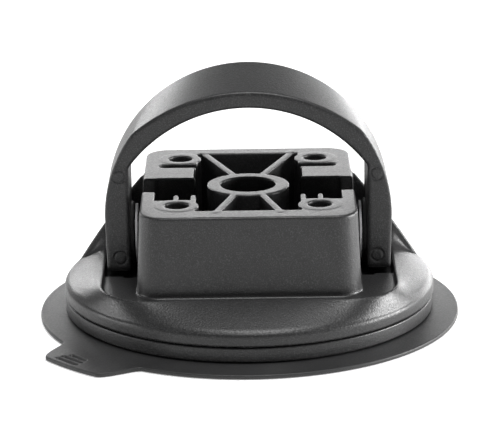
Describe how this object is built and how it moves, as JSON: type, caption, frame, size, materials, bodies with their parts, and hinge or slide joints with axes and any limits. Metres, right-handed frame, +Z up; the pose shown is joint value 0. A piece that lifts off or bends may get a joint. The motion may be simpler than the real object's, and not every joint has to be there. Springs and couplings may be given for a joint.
{
  "type": "suction cup mounting base",
  "caption": "Lever-operated suction base: rubber disc with pull tab, domed housing, square mounting block with corner screw holes and a central bore, arched folding lever.",
  "frame": {"origin": "axis of the rubber disc, at the surface the disc stands on", "axes": "+Z up, out of the mounting block; -Y the front, towards which the lever folds; +X to the right seen from the front, along the lever's pivot"},
  "size_m": [0.0916, 0.0916, 0.0538],
  "materials": {
    "housing_plastic": "fine-grained satin black, glass-filled moulding",
    "lever_plastic": "fine-grained satin black moulding",
    "rubber": "matt dark grey rubber",
    "inner_plastic": "plain black moulding",
    "bush_plastic": "natural acetal",
    "steel": "zinc plated"
  },
  "bodies": {
    "base": {"housing": "housing_plastic", "clamp_ring": "housing_plastic", "suction_disc": "rubber", "ring_screw_1": "steel", "ring_screw_2": "steel", "ring_screw_3": "steel", "ring_screw_4": "steel", "return_spring": "steel"},
    "puller": {"puller_plate": "steel", "puller_yoke": "inner_plastic", "bush_left": "bush_plastic", "bush_right": "bush_plastic", "yoke_screw_front": "steel", "yoke_screw_rear": "steel", "spring_seat": "steel"},
    "lever": {"lever": "lever_plastic", "clip_left": "steel", "clip_right": "steel", "thrust_washer_left": "bush_plastic", "thrust_washer_right": "bush_plastic"}
  },
  "joints": [
    {"name": "puller_lift", "type": "slide", "parent": "base", "child": "puller", "axis": [0, 0, 1], "range_m": [0, 0.0031], "deforming": ["return_spring"]},
    {"name": "lever_fold", "type": "hinge", "parent": "puller", "child": "lever", "pos_m": [0, 0, 0.018], "axis": [1, 0, 0], "range_deg": [0, 46]}
  ],
  "couplings": [
    {"joint": "puller_lift", "follows": "lever_fold", "m_per_rad": 0.00386}
  ]
}
